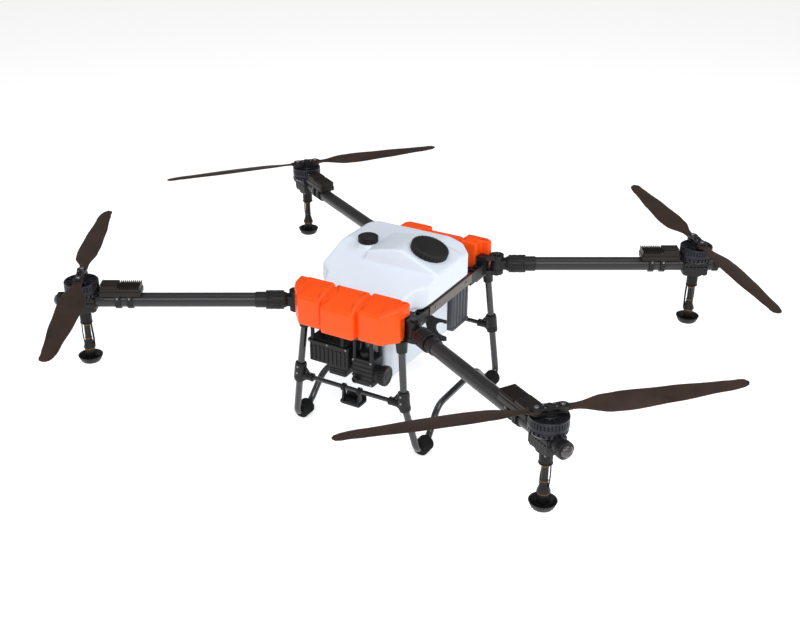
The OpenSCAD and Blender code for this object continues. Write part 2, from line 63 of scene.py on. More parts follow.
# ---------------------------------------------------------------- sizes, mm
HUB_Z = 421.0
ARM_Z = 356.0
PIN_X, PIN_Y = 168.0, 228.0
MOTOR_X, MOTOR_Y = 626.0, 498.0
ARM_LEN = math.hypot(MOTOR_X - PIN_X, MOTOR_Y - PIN_Y)
TIP_R, PIVOT = 441.0, 28.0
PLATE_Z = 327.0
TANK_TOP = 463.0
ARMS = {"fr": (1, -1, 44.0, 1), "fl": (-1, -1, 124.5, -1), "rr": (1, 1, 132.0, -1), "rl": (-1, 1, 51.6, 1)}


# ---------------------------------------------------------------- materials
def new_material(name, color, rough=0.5, metal=0.0, coat=0.0, spec=0.5):
    m = bpy.data.materials.new(name)
    m.use_nodes = True
    n = m.node_tree.nodes
    p = n["Principled BSDF"]
    p.inputs["Base Color"].default_value = (*color, 1)
    p.inputs["Roughness"].default_value = rough
    p.inputs["Metallic"].default_value = metal
    p.inputs["Coat Weight"].default_value = coat
    p.inputs["Coat Roughness"].default_value = 0.12
    p.inputs["Specular IOR Level"].default_value = spec
    m.diffuse_color = (*color, 1)
    return m, n, m.node_tree.links, p


def math_node(n, links, op, a, b=None):
    q = n.new("ShaderNodeMath")
    q.operation = op
    for k, v in enumerate((a, b)):
        if v is None:
            continue
        if isinstance(v, (int, float)):
            q.inputs[k].default_value = v
        else:
            links.new(v, q.inputs[k])
    return q.outputs[0]


def blended(n, links, factor, a, b):
    q = n.new("ShaderNodeMix")
    q.data_type = "RGBA"
    links.new(factor, q.inputs[0])
    q.inputs[6].default_value = (*a, 1)
    q.inputs[7].default_value = (*b, 1)
    return q.outputs[2]


def ramp(n, links, value, low, high, out_low, out_high):
    q = n.new("ShaderNodeMapRange")
    links.new(value, q.inputs["Value"])
    for key, v in (("From Min", low), ("From Max", high), ("To Min", out_low), ("To Max", out_high)):
        q.inputs[key].default_value = v
    return q.outputs[0]


def noise(n, links, scale, detail=4.0, stretch=None):
    t = n.new("ShaderNodeTexCoord")
    q = n.new("ShaderNodeTexNoise")
    q.inputs["Scale"].default_value = scale
    q.inputs["Detail"].default_value = detail
    if stretch:
        g = n.new("ShaderNodeMapping")
        g.inputs["Scale"].default_value = stretch
        links.new(t.outputs["Object"], g.inputs["Vector"])
        links.new(g.outputs[0], q.inputs["Vector"])
    else:
        links.new(t.outputs["Object"], q.inputs["Vector"])
    return q.outputs[0]


def bumped(n, links, p, height, strength, distance):
    q = n.new("ShaderNodeBump")
    q.inputs["Strength"].default_value = strength
    q.inputs["Distance"].default_value = distance
    links.new(height, q.inputs["Height"])
    links.new(q.outputs[0], p.inputs["Normal"])


def plain(name, color, rough, metal=0.0, coat=0.0, vary=0.12, grain=900.0, bump=0.15,
          depth=0.0002, blotch=14.0, spec=0.5):
    """A finish with slow blotches in colour and roughness and a fine surface grain."""
    m, n, links, p = new_material(name, color, rough, metal, coat, spec)
    slow = noise(n, links, blotch, 3.0)
    fine = noise(n, links, grain, 2.0)
    dark = tuple(c * (1 - vary) for c in color)
    light = tuple(min(1.0, c * (1 + vary)) for c in color)
    links.new(blended(n, links, ramp(n, links, slow, 0.3, 0.7, 0, 1), dark, light), p.inputs["Base Color"])
    links.new(ramp(n, links, slow, 0.3, 0.7, max(0.05, rough - 0.07), min(1, rough + 0.07)), p.inputs["Roughness"])
    if bump:
        bumped(n, links, p, fine, bump, depth)
    return m


def twill(name, dark, light, rough, coat):
    """Carbon cloth in 2 by 2 twill, drawn in the UV map, where one unit is one millimetre."""
    m, n, links, p = new_material(name, dark, rough, 0.0, coat)
    p.inputs["Specular IOR Level"].default_value = 0.3
    p.inputs["Coat Roughness"].default_value = 0.12
    t = n.new("ShaderNodeTexCoord")
    s = n.new("ShaderNodeSeparateXYZ")
    links.new(t.outputs["UV"], s.inputs[0])
    u = math_node(n, links, "MULTIPLY", s.outputs[0], 1 / 2.6)
    v = math_node(n, links, "MULTIPLY", s.outputs[1], 1 / 2.6)
    diag = math_node(n, links, "ADD", math_node(n, links, "FLOOR", u), math_node(n, links, "FLOOR", v))
    step = math_node(n, links, "FLOORED_MODULO", diag, 4.0)
    warp = math_node(n, links, "LESS_THAN", step, 1.5)
    fu = math_node(n, links, "PINGPONG", math_node(n, links, "FRACT", u), 0.5)
    fv = math_node(n, links, "PINGPONG", math_node(n, links, "FRACT", v), 0.5)
    tow = math_node(n, links, "MAXIMUM", math_node(n, links, "MULTIPLY", fu, warp),
                    math_node(n, links, "MULTIPLY", fv, math_node(n, links, "SUBTRACT", 1.0, warp)))
    links.new(blended(n, links, math_node(n, links, "MULTIPLY_ADD", warp, 0.8),
                      dark, light), p.inputs["Base Color"])
    links.new(ramp(n, links, warp, 0, 1, rough, rough + 0.12), p.inputs["Roughness"])
    bumped(n, links, p, tow, 0.35, 0.0003)
    return m


M = {
    "carbon_tube": twill("carbon_tube", (0.002, 0.002, 0.0025), (0.022, 0.022, 0.024), 0.3, 0.2),
    "carbon_plate": plain("carbon_plate", (0.040, 0.022, 0.014), 0.3, 0, 0.4, 0.3, 500, 0.1, spec=0.4),
    "black_nylon": plain("black_nylon", (0.008, 0.008, 0.009), 0.42, 0, 0, 0.25, 1400, 0.25, spec=0.28),
    "steel": plain("steel", (0.30, 0.30, 0.32), 0.32, 1.0, 0, 0.1, 700, 0.1),
    "orange_cover": plain("orange_cover", (0.95, 0.082, 0.003),
                          0.42, 0, 0.08, 0.04, 900, 0.06, 0.0001, 8, spec=0.22),
    "gear_tube": plain("gear_tube", (0.016, 0.017, 0.020), 0.22, 0.2, 0.5, 0.2, 700, 0.08, spec=0.5),
    "rubber": plain("rubber", (0.006, 0.006, 0.006), 0.75, 0, 0, 0.3, 1500, 0.5, spec=0.25),
    "grey_battery": plain("grey_battery", (0.07, 0.075, 0.088), 0.42, 0, 0, 0.12, 1100, 0.2, spec=0.35),
    "white_tank": plain("white_tank", (0.70, 0.77, 0.86), 0.38, 0, 0.1, 0.03, 300, 0.05, 0.0004, 6, spec=0.4),
    "black_cap": plain("black_cap", (0.010, 0.009, 0.009), 0.5, 0, 0, 0.25, 1300, 0.3, spec=0.3),
    "motor_grey": plain("motor_grey", (0.022, 0.023, 0.031), 0.34, 0.6, 0, 0.2, 900, 0.08, spec=0.4),
    "esc_black": plain("esc_black", (0.016, 0.012, 0.010), 0.4, 0.35, 0, 0.25, 900, 0.12, spec=0.3),
    "blade": plain("blade", (0.036, 0.021, 0.015), 0.46, 0, 0, 0.25, 500, 0.12, 0.0002, 22, spec=0.2),
    "brass": plain("brass", (0.16, 0.085, 0.02), 0.35, 1.0, 0, 0.1, 800, 0.05),
    "lamp": plain("lamp", (0.05, 0.045, 0.045), 0.16, 0.2, 0.4, 0.05, 600, 0.02),
    "copper": plain("copper", (0.10, 0.035, 0.014), 0.4, 0.8, 0, 0.2, 500, 0.1),
}
for o in nodes.values():
    slot_name = next(s["material_slot"] for s in frame["record"]["subparts"] if s["node"] == o.name)
    o.data.materials.clear()
    o.data.materials.append(M[slot_name])


# ---------------------------------------------------------------- mesh helpers, mm in, metres out
def place(p, at):
    return at @ Vector(p) if at else Vector(p)


def make(name, verts, faces, mat, body, smooth=40, at=None, uv=None, bevel=0.0, sub=0, stand_for=(), slot=None):
    me = bpy.data.meshes.new(name)
    me.from_pydata([place(v, at) * 0.001 for v in verts], [], faces)
    bm = bmesh.new()
    bm.from_mesh(me)
    if uv:
        layer = bm.loops.layers.uv.new("cloth")
        bm.verts.ensure_lookup_table()
        for f in bm.faces:
            us = [uv[l.vert.index] for l in f.loops]
            wrap = max(q[1] for q in us) - min(q[1] for q in us)
            for l, q in zip(f.loops, us):
                l[layer].uv = (q[0], q[1] + (uv["wrap"] if wrap > uv["wrap"] / 2 and q[1] < uv["wrap"] / 2 else 0))
    bmesh.ops.recalc_face_normals(bm, faces=bm.faces)
    bm.to_mesh(me)
    bm.free()
    o = bpy.data.objects.new(name, me)
    scene.collection.objects.link(o)
    me.materials.append(M[mat])
    if bevel:
        b = o.modifiers.new("edge", "BEVEL")
        b.width = bevel * 0.001
        b.segments = 3
        b.limit_method = "ANGLE"
        b.angle_limit = math.radians(35)
        b.harden_normals = True
    if sub:
        s = o.modifiers.new("sub", "SUBSURF")
        s.levels = s.render_levels = sub
    me.shade_smooth()
    if not sub:
        me.set_sharp_from_angle(angle=math.radians(smooth))
    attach(o, body)
    if stand_for:
        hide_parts(*stand_for)
    return o


class Shape:
    """Collects several solids into one mesh."""

    def __init__(self):
        self.v, self.f = [], []

    def add(self, verts, faces, at=None):
        k = len(self.v)
        self.v += [tuple(place(p, at)) for p in verts]
        self.f += [[i + k for i in f] for f in faces]

    def revolve(self, profile, seg=64, at=None, ribs=0, depth=0.0, duty=0.5):
        """profile: (radius, height) from the axis round to the axis. ribs cuts flutes into points marked with a third item."""
        verts, faces = [], []
        rows = []
        for q in profile:
            r, z = q[0], q[1]
            if r < 1e-6:
                rows.append([len(verts)])
                verts.append((0, 0, z))
                continue
            row = []
            for k in range(seg):
                a = 2 * math.pi * k / seg
                rr = r
                if ribs and len(q) > 2 and (k * ribs / seg) % 1.0 >= duty:
                    rr = r - depth
                row.append(len(verts))
                verts.append((rr * math.cos(a), rr * math.sin(a), z))
            rows.append(row)
        for a, b in zip(rows, rows[1:]):
            if len(a) == 1 and len(b) == 1:
                continue
            for k in range(seg):
                n = (k + 1) % seg
                if len(a) == 1:
                    faces.append([a[0], b[k], b[n]])
                elif len(b) == 1:
                    faces.append([a[k], b[0], a[n]])
                else:
                    faces.append([a[k], b[k], b[n], a[n]])
        self.add(verts, faces, at)

    def box(self, x0, x1, y0, y1, z0, z1, r=0.0, at=None):
        """A block; r rounds its upright edges."""
        c = [(x0, y0), (x1, y0), (x1, y1), (x0, y1)]
        self.prism(rounded(c, r, 5) if r else c, z0, z1, at)

    def prism(self, outline, z0, z1, at=None):
        n = len(outline)
        verts = [(x, y, z0) for x, y in outline] + [(x, y, z1) for x, y in outline]
        faces = [list(range(n))[::-1], list(range(n, 2 * n))]
        faces += [[i, (i + 1) % n, n + (i + 1) % n, n + i] for i in range(n)]
        self.add(verts, faces, at)

    def sweep(self, path, r, seg=24, at=None):
        path = [Vector(p) for p in path]
        verts, faces = [], []
        ref = None
        for i, p in enumerate(path):
            d = (path[min(i + 1, len(path) - 1)] - path[max(i - 1, 0)]).normalized()
            if ref is None:
                ref = d.orthogonal().normalized()
            ref = (ref - d * ref.dot(d)).normalized()
            w = d.cross(ref)
            for k in range(seg):
                a = 2 * math.pi * k / seg
                verts.append(p + r * (math.cos(a) * ref + math.sin(a) * w))
        for i in range(len(path) - 1):
            for k in range(seg):
                n = (k + 1) % seg
                faces.append([i * seg + k, i * seg + n, (i + 1) * seg + n, (i + 1) * seg + k])
        faces.append(list(range(seg))[::-1])
        faces.append([(len(path) - 1) * seg + k for k in range(seg)])
        self.add(verts, faces, at)

    def make(self, name, mat, body, **kw):
        return make(name, self.v, self.f, mat, body, **kw)


def rounded(points, r, steps=6):
    """A closed outline with every corner filleted."""
    out = []
    n = len(points)
    for i in range(n):
        p, a, b = (Vector(points[k % n][:2]) for k in (i, i - 1, i + 1))
        u, v = (a - p), (b - p)
        ang = u.angle(v)
        cut = min(r / math.tan(ang / 2), 0.48 * u.length, 0.48 * v.length)
        if math.pi - ang < 0.05 or cut < 0.05:
            out.append(tuple(p))
            continue
        s, e = p + u.normalized() * cut, p + v.normalized() * cut
        for k in range(steps + 1):
            t = k / steps
            out.append(tuple((1 - t) ** 2 * s + 2 * t * (1 - t) * p + t * t * e))
    return out


def spread(points, step):
    """The outline with extra points, so that no edge is longer than step."""
    out = []
    for i, p in enumerate(points):
        q = points[(i + 1) % len(points)]
        k = max(1, int(math.dist(p, q) / step))
        out += [(p[0] + (q[0] - p[0]) * j / k, p[1] + (q[1] - p[1]) * j / k) for j in range(k)]
    return out


def inset(points, d):
    out = []
    n = len(points)
    area = sum(points[i][0] * points[(i + 1) % n][1] - points[(i + 1) % n][0] * points[i][1] for i in range(n))
    sign = 1 if area > 0 else -1
    for i in range(n):
        a, b = points[i - 1], points[(i + 1) % n]
        t = Vector((b[0] - a[0], b[1] - a[1])).normalized()
        out.append((points[i][0] - sign * t.y * d, points[i][1] + sign * t.x * d))
    return out


def pillow(shape, outline, z_bot, z_top, r, spine, r_bot=0.0, open_bottom=False, at=None):
    """A moulded body: upright walls, a rounded shoulder of radius r, and a roof z_top(x, y) drawn in to the spine."""
    n = len(outline)
    rings = []
    if r_bot and not open_bottom:
        for k in range(4):
            a = math.pi / 2 * k / 4
            ring = inset(outline, r_bot * (1 - math.sin(a)))
            rings.append([(x, y, z_bot + r_bot * (1 - math.cos(a))) for x, y in ring])
    else:
        rings.append([(x, y, z_bot) for x, y in outline])
    top = [z_top(x, y) for x, y in outline]
    for t in (0.25, 0.5, 0.75):
        rings.append([(x, y, z_bot + r_bot + (z - r - z_bot - r_bot) * t) for (x, y), z in zip(outline, top)])
    for k in range(7):
        a = math.pi / 2 * k / 6
        ring = inset(outline, r * (1 - math.cos(a)))
        rings.append([(x, y, z_top(x, y) - r + r * math.sin(a)) for x, y in ring])
    inner = inset(outline, r)
    for t in (0.08, 0.18, 0.3, 0.43, 0.57, 0.72, 0.86, 1.0):
        ring = []
        for x, y in inner:
            sx, sy = spine(x, y)
            qx, qy = x + (sx - x) * t, y + (sy - y) * t
            ring.append((qx, qy, z_top(qx, qy)))
        rings.append(ring)
    verts = [p for ring in rings for p in ring]
    faces = []
    for i in range(len(rings) - 1):
        for k in range(n):
            q = (k + 1) % n
            faces.append([i * n + k, i * n + q, (i + 1) * n + q, (i + 1) * n + k])
    if not open_bottom:
        faces.append(list(range(n))[::-1])
    shape.add(verts, faces, at)


def fillet_path(points, r, steps=10):
    pts = [Vector(p) for p in points]
    out = [pts[0]]
    for i in range(1, len(pts) - 1):
        p, u, v = pts[i], pts[i - 1] - pts[i], pts[i + 1] - pts[i]
        cut = min(r, 0.45 * u.length, 0.45 * v.length)
        s, e = p + u.normalized() * cut, p + v.normalized() * cut
        out += [(1 - t) ** 2 * s + 2 * t * (1 - t) * p + t * t * e for t in (k / steps for k in range(steps + 1))]
    return out + [pts[-1]]


def turn_z(deg):
    return Matrix.Rotation(math.radians(deg), 4, "Z")


ALONG_X = Matrix.Rotation(math.radians(90), 4, "Y")


# ---------------------------------------------------------------- arms
def arm_frame(key):
    sx, sy = ARMS[key][:2]
    bearing = math.degrees(math.atan2(sy * (MOTOR_Y - PIN_Y), sx * (MOTOR_X - PIN_X)))
    return Matrix.Translation((sx * PIN_X, sy * PIN_Y, ARM_Z)) @ turn_z(bearing)


def arm_tube(key):
    at = arm_frame(key)
    seg = 72
    verts, faces, uv = [], [], {"wrap": 2 * math.pi * 18}
    stations = [(34, 16), (34, 17.9), (34.2, 18)] + [(34.2 + (ARM_LEN + 20.6) * k / 40, 18) for k in range(1, 41)]
    stations += [(ARM_LEN + 55, 17.9), (ARM_LEN + 55, 16), (34, 16)]
    for s, r in stations:
        for k in range(seg):
            a = 2 * math.pi * k / seg
            uv[len(verts)] = (s, 18 * a)
            verts.append((s, r * math.cos(a), r * math.sin(a)))
    for i in range(len(stations) - 1):
        for k in range(seg):
            n = (k + 1) % seg
            faces.append([i * seg + k, i * seg + n, (i + 1) * seg + n, (i + 1) * seg + k])
    make("tube_" + key, verts, faces, "carbon_tube", "arm_" + key, at=at, uv=uv, stand_for=["arm_tube_" + key])


def sleeve(key):
    at = arm_frame(key) @ ALONG_X
    s = Shape()
    s.revolve([(20.0, 32), (23.4, 32), (24, 32.6), (24, 36.4), (23.2, 37),
               (23.7, 37.6, 1), (23.7, 70.4, 1), (23.2, 71),
               (24, 71.6), (24, 75.4), (23.4, 76), (20.0, 76), (20.0, 32)], 216, ribs=18, depth=1.5, duty=0.62)
    # two rows of raised dashes near the outer end
    for row, z in enumerate((42.0, 60.0)):
        for k in range(18):
            s.box(23.2, 24.0, -1.6, 1.6, z, z + 8, 0.5,
                  Matrix.Rotation(math.radians(20 * k + 10 * row + 4), 4, "Z"))
    s.make("sleeve_" + key, "black_nylon", "sleeve_" + key, at=at, stand_for=["lock_sleeve_" + key])


def nozzle(key):
    at = arm_frame(key) @ Matrix.Translation((ARM_LEN, 0, 0))
    s = Shape()
    s.revolve([(0, -30), (13.6, -30), (14.6, -31, 1), (14.6, -58, 1), (13.6, -59.5), (15.0, -59.6), (15.5, -60.2),
               (15.5, -62), (15.0, -62.5), (8.4, -62.6), (7.8, -64), (7.8, -108), (8.4, -110),
               (11.5, -121), (14.6, -130),
               (15, -132), (14.2, -132.4), (12.1, -134), (12, -158), (11, -160), (3.05, -160),
               (3.05, -141), (0, -141)],
              144, ribs=24, depth=1.4, duty=0.55)
    s.make("nozzle_body_" + key, "black_nylon", "arm_" + key, at=at, stand_for=["nozzle_" + key])
    b = Shape()
    b.revolve([(12.05, -136.5), (13.2, -136.5), (13.6, -136), (13.6, -133.2), (13.2, -132.7),
               (12.05, -132.7), (12.05, -136.5)], 64)
    for z in (-66.5, -104.0):
        b.revolve([(7.85, z), (8.8, z), (9.0, z - 0.3), (9.0, z - 2.2), (8.8, z - 2.5),
                   (7.85, z - 2.5), (7.85, z)], 48)
    b.make("nozzle_rings_" + key, "brass", "arm_" + key, at=at)
    h = Shape()
    h.sweep(fillet_path([(-11.2, 2, -57), (-12.5, 3, -80), (-13.5, 0, -104), (-13.0, 0, -129)], 12, 8), 2.4, 16)
    h.sweep(fillet_path([(10.4, 6, -62), (11.5, 6, -85), (10.5, 5, -108), (9.5, 4, -124)], 10, 8), 1.5, 12)
    h.make("nozzle_feed_" + key, "rubber", "arm_" + key, at=at)
    d = Shape()
    at_d = at @ Matrix.Translation((0, 0, -171))
    d.revolve([(0, 0), (20, 0), (23, 0.6), (27.5, 8), (30.6, 15.8, 1), (31.0, 17, 1), (29.0, 17),
               (27.6, 15.6), (21.4, 3.1), (20.4, 2.5),
               (3, 2.5), (3, 26), (0, 26)], 216, ribs=36, depth=1.6, duty=0.6)
    for k in range(18):
        d.box(10, 25.6, -0.5, 0.5, 2.2, 5.6, 0, turn_z(20 * k))
    d.make("disc_" + key, "black_nylon", "disc_" + key, at=at_d, stand_for=["nozzle_disc_" + key])


def blade_row(t, spin, half_t):
    """One closed cambered section at t from 0 at the root to 1 at the tip."""
    def pick(table):
        for (a, va), (b, vb) in zip(table, table[1:]):
            if t <= b:
                w = (t - a) / (b - a)
                w = w * w * (3 - 2 * w)
                return va + (vb - va) * w
        return table[-1][1]

    c = 62 * pick([(0, 0.36), (0.05, 0.37), (0.22, 0.93), (0.32, 1.0), (0.56, 0.88), (0.85, 0.62),
                   (0.96, 0.5), (0.988, 0.36), (1, 0.14)])
    p = math.radians(pick([(0, 2), (0.12, 10), (0.25, 10), (0.6, 7), (1, 4)]))
    x = PIVOT + 8 + t * (TIP_R - PIVOT - 8)
    sw = 62 * pick([(0, 0), (0.25, -0.08), (0.9, 0), (1, 0.07)])
    out = []
    for k in range(half_t * 2):
        a = math.pi * k / half_t
        u = -0.5 * math.cos(a)
        th = (1.75 - 0.75 * t) * (abs(math.sin(a)) ** 0.8) * (1 if a < math.pi else -0.8)
        th += (1 - 4 * u * u) * 0.6
        out.append((x, spin * (sw + u * c * math.cos(p) - th * math.sin(p)),
                    u * c * math.sin(p) + th * math.cos(p)))
    return out


def blade(key, half):
    sx, sy, bearing, spin = ARMS[key]
    at = Matrix.Translation((sx * MOTOR_X, sy * MOTOR_Y, HUB_Z)) @ turn_z(bearing + 180 * half)
    s = Shape()
    steps, k2 = 64, 14
    verts, faces = [], []
    for i in range(steps + 1):
        t = i / steps
        t = t if t < 0.9 else 0.9 + 0.1 * math.sin((t - 0.9) * 5 * math.pi)
        verts += blade_row(t, spin, k2)
    n = 2 * k2
    for i in range(steps):
        for k in range(n):
            q = (k + 1) % n
            faces.append([i * n + k, i * n + q, (i + 1) * n + q, (i + 1) * n + k])
    faces += [list(range(n)), [steps * n + k for k in range(n)][::-1]]
    s.add(verts, faces)
    hub = Matrix.Translation((PIVOT, 0, 0))
    s.revolve([(3.06, -3.1), (11.4, -3.1), (12, -2.6), (12, 2.6), (11.4, 3.1), (3.06, 3.1), (3.06, -3.1)], 48, hub)
    s.prism(rounded([(PIVOT + 3, -11), (PIVOT + 20, -9.5), (PIVOT + 20, 9.5), (PIVOT + 3, 11)], 3, 4), -2.6, 2.6)
    name = "blade_%s_%s" % ("ab"[half], key)
    s.make("prop_%s_%s" % ("ab"[half], key), "blade", name, at=at, smooth=50, stand_for=[name])


def bolt(shape, r, h, at):
    """A socket head screw standing on z = 0."""
    shape.revolve([(0, -0.2), (r, -0.2), (r, h * 0.8), (r - 0.4, h), (r * 0.55, h),
                   (r * 0.5, h * 0.45), (0, h * 0.45)], 24, at)


def knuckle(key):
    at = arm_frame(key)
    s = Shape()
    s.revolve([(5.06, -14.4), (16.4, -14.4), (17, -13.8), (17, 13.8), (16.4, 14.4),
               (5.06, 14.4), (5.06, -14.4)], 64)
    s.prism(rounded([(8, -13.5), (25, -13.5), (25, 13.5), (8, 13.5)], 2, 3), -12.5, 12.5)
    s.revolve([(14, 20), (14.6, 20.2), (19.4, 27.4), (19.95, 28.2), (19.95, 102), (19.3, 102.9), (18.1, 103),
               (18.1, 34), (14, 34), (14, 20)],
              96, ALONG_X)
    for k in range(5):
        z = 79.5 + 4.2 * k
        s.revolve([(19.2, z), (19.93, z + 0.3), (19.93, z + 1.3), (19.2, z + 1.6), (19.2, z)], 72, ALONG_X)
    s.make("knuckle_" + key, "black_nylon", "arm_" + key, at=at, bevel=0.5, stand_for=["arm_knuckle_" + key])


def motor(key):
    at = arm_frame(key) @ Matrix.Translation((ARM_LEN, 0, 0))
    c = Shape()
    # clamp: two halves with a split line, webs and four screws
    for z0, z1, w in ((-24, -1.2, 24.5), (1.2, 12, 24.5)):
        c.prism(rounded([(-33, -w), (33, -w), (33, w), (-33, w)], 7, 6), z0, z1)
    for x in (-30, -20, -10, 0, 10, 20, 30):
        c.box(x - 1.6, x + 1.6, -25, 25, -20, 10)
    c.revolve([(0, -30), (23, -30), (24, -29), (24, -22), (0, -22)], 64)
    c.make("clamp_" + key, "black_nylon", "arm_" + key, at=at, bevel=0.7)
    s = Shape()
    s.revolve([(0, 11), (34.2, 11), (35, 11.6), (41.2, 19.6), (41.5, 20.6, 1), (41.5, 27, 1),
               (40.8, 27.5), (31, 27.5), (30, 28.2),
               (30, 38.4), (29, 39), (6, 39), (6, 36), (0, 36)], 192, ribs=24, depth=4.2, duty=0.55)
    s.make("stator_" + key, "motor_grey", "arm_" + key, at=at, stand_for=["motor_base_" + key])
    w = Shape()
    for k in range(12):
        w.box(30.4, 38.5, -4.6, 4.6, 21.5, 27.2, 2, turn_z(30 * k + 7.5))
    w.make("windings_" + key, "copper", "arm_" + key, at=at, bevel=0.4)
    b = Shape()
    for sx in (-1, 1):
        for sy in (-1, 1):
            flip = Matrix.Translation((sx * 25, sy * 20.5, -24)) @ Matrix.Rotation(math.pi, 4, "X")
            bolt(b, 3.3, 2.6, flip)
    b.make("clamp_screws_" + key, "steel", "arm_" + key, at=at)
    e = Shape()
    end = Matrix.Translation((47, 0, 0)) @ ALONG_X
    e.revolve([(18.05, 0), (19.1, 0), (19.6, 0.6), (19.6, 14.2), (18.8, 15), (14.6, 15), (14.2, 14), (0, 14),
               (0, 9), (18.05, 9), (18.05, 0)], 96, end)
    for k in range(24):
        e.box(19.2, 19.95, -0.9, 0.9, 2, 12.5, 0, end @ turn_z(15 * k))
    e.make("end_cap_" + key, "black_nylon", "arm_" + key, at=at)
    d = Shape()
    dome = [(14.2, 13.5), (14.4, 15)] + [(14.4 * math.cos(a), 15 + 10.8 * math.sin(a))
                                         for a in (math.pi / 24 * k for k in range(1, 12))]
    d.revolve([(0, 13.5)] + dome + [(0, 25.8)], 64, end)
    for r in (4.5, 8.5, 12.0):
        h = 15 + 10.8 * math.sqrt(1 - (r / 14.4) ** 2)
        d.revolve([(r - 0.7, h - 0.6), (r - 0.4, h + 0.45), (r + 0.4, h + 0.2),
                   (r + 0.7, h - 1.2), (r - 0.7, h - 0.6)], 64, end)
    d.make("end_lamp_" + key, "lamp", "arm_" + key, at=at)


def rotor(key):
    sx, sy, bearing, _ = ARMS[key]
    at = Matrix.Translation((sx * MOTOR_X, sy * MOTOR_Y, HUB_Z)) @ turn_z(bearing)
    s = Shape()
    s.revolve([(37.5, -36.4), (42, -36.4), (42.5, -35.9), (42.5, -29), (41.9, -28.4), (41.9, -27.6), (42.5, -27, 1),
               (42.5, -17, 1), (41.9, -16.2),
               (42.4, -15.4), (42.4, -12.6), (41.6, -11.6), (37, -11.6), (36.2, -12.4), (36.2, -15.4),
               (18.4, -15.4), (17.6, -12.4),
               (16.8, -11.6), (5, -11.6), (5, -24), (37.5, -24), (37.5, -36.4)], 216, ribs=36, depth=2.4, duty=0.6)
    for k in range(12):
        s.box(17.5, 36.8, -2.4, 2.4, -16.5, -12.6, 0, turn_z(30 * k))
    s.revolve([(0, -45), (5, -45), (5, -20), (0, -20)], 32)
    s.make("bell_" + key, "motor_grey", "rotor_" + key, at=at, bevel=0.25, stand_for=["rotor_" + key])
    c = Shape()
    c.revolve([(0, -12), (14.4, -12), (15, -11.4), (15, -7.2), (0, -7.2)], 64)
    c.revolve([(0, -9), (9, -9), (9, 9.2), (8.2, 10), (4.2, 10), (3.8, 8.4), (0, 8.4)], 48)
    for z in (-7.1, 3.2):
        arc = [(PIVOT + 13 * math.cos(a), 13 * math.sin(a))
               for a in (math.radians(-80 + 10 * k) for k in range(17))]
        waist = [(10, 10.2), (0, 9.6), (-10, 10.2)]
        half = arc + waist
        c.prism(half[:-1] + [(-x, y) for x, y in arc[::-1]] + [(-x, -y) for x, y in waist[1:2]], z, z + 3.9)
    c.make("prop_clamp_" + key, "black_nylon", "rotor_" + key, at=at, bevel=0.5)
    b = Shape()
    for q in (-1, 1):
        bolt(b, 5.4, 3.2, Matrix.Translation((q * PIVOT, 0, 7.2)))
        b.revolve([(0, -8.2), (4.6, -8.2), (5, -7.8), (5, -7.1), (3, -7.1), (3, 7), (0, 7)],
                  32, Matrix.Translation((q * PIVOT, 0, 0)))
        for w in (-1, 1):
            bolt(b, 2.2, 1.8, Matrix.Translation((q * 12, w * 6.4, 7.1)))
    b.make("prop_bolts_" + key, "steel", "rotor_" + key, at=at)


def esc(key):
    at = arm_frame(key) @ Matrix.Translation((ARM_LEN, 0, 0))
    s = Shape()
    s.prism(rounded([(-148, -23), (-45, -23), (-45, 23), (-148, 23)], 4, 5), 17.6, 30)
    s.prism(rounded([(-146.5, -21.6), (-46.5, -21.6), (-46.5, 21.6), (-146.5, 21.6)], 4, 5), 29.9, 37.6)
    for k in range(11):
        s.box(-146 + k * 4.9, -143.6 + k * 4.9, -20.8, 20.8, 37.2, 44.2)
    s.prism(rounded([(-92, -20.8), (-47, -20.8), (-47, 20.8), (-92, 20.8)], 5, 5), 37.2, 45)
    s.prism(rounded([(-86, -15), (-53, -15), (-53, 15), (-86, 15)], 4, 5), 44.6, 45.8)
    s.make("esc_case_" + key, "esc_black", "arm_" + key, at=at, bevel=0.6, stand_for=["esc_" + key])
    c = Shape()
    for x0 in (-125, -95):
        ring = [(18.2 * math.cos(a), 18.2 * math.sin(a))
                for a in (math.radians(-180 - 60 + 12 * k) for k in range(26))]
        outer = [(22 * math.cos(a), 22 * math.sin(a))
                 for a in (math.radians(-180 - 60 + 12 * k) for k in range(25, -1, -1))]
        c.prism([(y, z) for z, y in ring + outer], 0, 13,
                Matrix.Translation((x0, 0, 0)) @ Matrix(((0, 0, 1, 0), (1, 0, 0, 0), (0, 1, 0, 0), (0, 0, 0, 1))))
        for w in (-1, 1):
            c.box(x0, x0 + 13, min(w * 17, w * 22), max(w * 17, w * 22), -10, 18.5)
            for z in (-6, 3):
                c.box(x0 + 5, x0 + 8, min(w * 20, w * 22.9), max(w * 20, w * 22.9), z, z + 5)
    c.make("esc_clamp_" + key, "black_nylon", "arm_" + key, at=at, bevel=0.6)
    b = Shape()
    for x in (-142, -96.4, -50):
        for w in (-1, 1):
            if x != -142:
                bolt(b, 2.0, 1.4, Matrix.Translation((x + (4 if x == -96.4 else 0),
                                                      w * 17.5, 45 if x == -50 else 37.6)))
    for x in (-118.5, -88.5):
        for w in (-1, 1):
            bolt(b, 2.4, 1.6, Matrix.Translation((x, w * 22, 12)) @ Matrix.Rotation(-w * math.pi / 2, 4, "X"))
    b.make("esc_screws_" + key, "steel", "arm_" + key, at=at)


